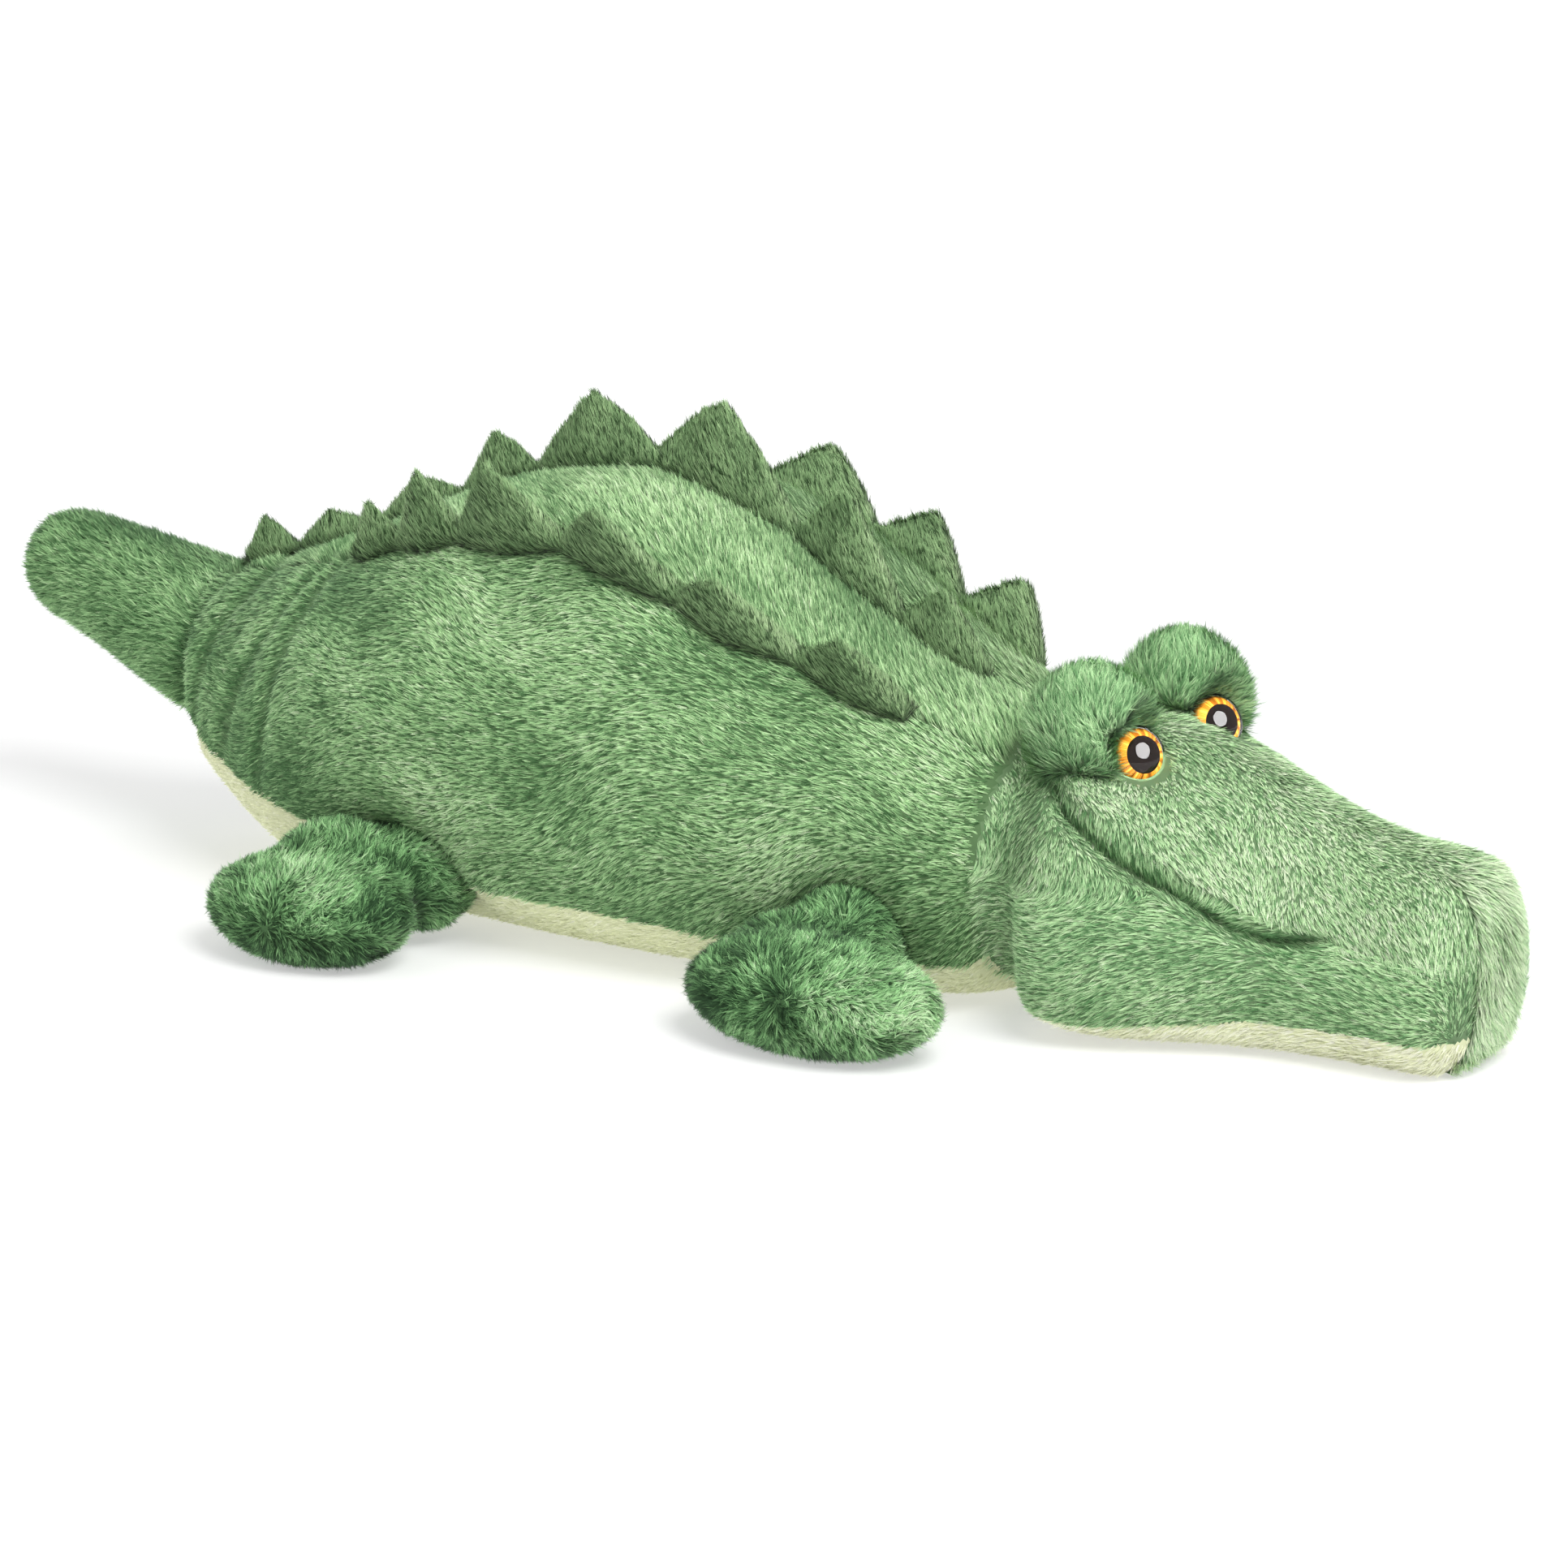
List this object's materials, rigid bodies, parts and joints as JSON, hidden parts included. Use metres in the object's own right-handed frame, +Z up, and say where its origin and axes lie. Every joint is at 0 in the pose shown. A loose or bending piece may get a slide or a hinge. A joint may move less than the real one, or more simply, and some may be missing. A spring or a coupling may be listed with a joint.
{
  "type": "plush crocodile",
  "caption": "Stuffed plush crocodile lying on its belly, with a turning head and tail, swinging legs, back spikes and plastic eyes.",
  "frame": {"origin": "middle of the footprint's box, on the surface that the belly, chin and paws rest on", "axes": "+X forwards along the snout, +Y to the animal's left, +Z up"},
  "size_m": [0.7018, 0.312, 0.2136],
  "materials": {
    "plush_side": "mid green mottled long-pile plush",
    "plush_back": "light green mottled plush",
    "plush_head": "light green long-pile plush",
    "plush_belly": "pale cream green short plush",
    "plush_spike": "dark green short plush",
    "plush_leg": "green shaggy plush",
    "fibre_fill": "white polyester fibre",
    "pellets": "cloth bag of plastic pellets",
    "eye_clear": "polished clear acrylic",
    "eye_foil": "amber foil with dark streaks",
    "eye_black": "gloss black",
    "washer_plastic": "natural plastic"
  },
  "bodies": {
    "trunk": {"trunk_filling": "fibre_fill", "pellet_bag": "pellets", "belly_panel": "plush_belly", "side_panel_left": "plush_side", "side_panel_right": "plush_side", "back_panel_left": "plush_back", "back_panel_right": "plush_back", "spike_row_middle": "plush_spike", "spike_row_left": "plush_spike", "spike_row_right": "plush_spike"},
    "tail": {"tail_filling": "fibre_fill", "tail_cover_left": "plush_side", "tail_cover_right": "plush_side"},
    "head": {"head_filling": "fibre_fill", "head_top_panel": "plush_head", "cheek_panel_left": "plush_head", "cheek_panel_right": "plush_head", "chin_panel": "plush_belly", "snout_front_panel": "plush_head", "brow_left": "plush_head", "eye_lens_left": "eye_clear", "eye_iris_left": "eye_foil", "eye_pupil_left": "eye_black", "eye_plate_left": "eye_black", "eye_washer_left": "washer_plastic", "brow_right": "plush_head", "eye_lens_right": "eye_clear", "eye_iris_right": "eye_foil", "eye_pupil_right": "eye_black", "eye_plate_right": "eye_black", "eye_washer_right": "washer_plastic"},
    "front_leg_left": {"front_leg_left": "plush_leg", "front_paw_left": "plush_leg"},
    "front_leg_right": {"front_leg_right": "plush_leg", "front_paw_right": "plush_leg"},
    "hind_leg_left": {"hind_leg_left": "plush_leg", "hind_paw_left": "plush_leg"},
    "hind_leg_right": {"hind_leg_right": "plush_leg", "hind_paw_right": "plush_leg"}
  },
  "joints": [
    {"name": "tail_swing", "type": "hinge", "parent": "trunk", "child": "tail", "pos_m": [-0.252, 0, 0.087], "axis": [0, 0, 1], "range_deg": [-25, 25], "stiffness_Nm_per_rad": 0.25},
    {"name": "head_turn", "type": "hinge", "parent": "trunk", "child": "head", "pos_m": [0.186, 0, 0.058], "axis": [0, 0, 1], "range_deg": [-18, 18], "stiffness_Nm_per_rad": 0.6},
    {"name": "front_leg_swing_left", "type": "hinge", "parent": "trunk", "child": "front_leg_left", "pos_m": [0.11154, 0.072, 0.029], "axis": [0, 0, -1], "range_deg": [-20, 8], "stiffness_Nm_per_rad": 0.2},
    {"name": "front_leg_swing_right", "type": "hinge", "parent": "trunk", "child": "front_leg_right", "pos_m": [0.11154, -0.072, 0.029], "axis": [0, 0, 1], "range_deg": [-20, 8], "stiffness_Nm_per_rad": 0.2},
    {"name": "hind_leg_swing_left", "type": "hinge", "parent": "trunk", "child": "hind_leg_left", "pos_m": [-0.08249, 0.082, 0.029], "axis": [0, 0, -1], "range_deg": [-8, 20], "stiffness_Nm_per_rad": 0.2},
    {"name": "hind_leg_swing_right", "type": "hinge", "parent": "trunk", "child": "hind_leg_right", "pos_m": [-0.08249, -0.082, 0.029], "axis": [0, 0, 1], "range_deg": [-8, 20], "stiffness_Nm_per_rad": 0.2}
  ]
}
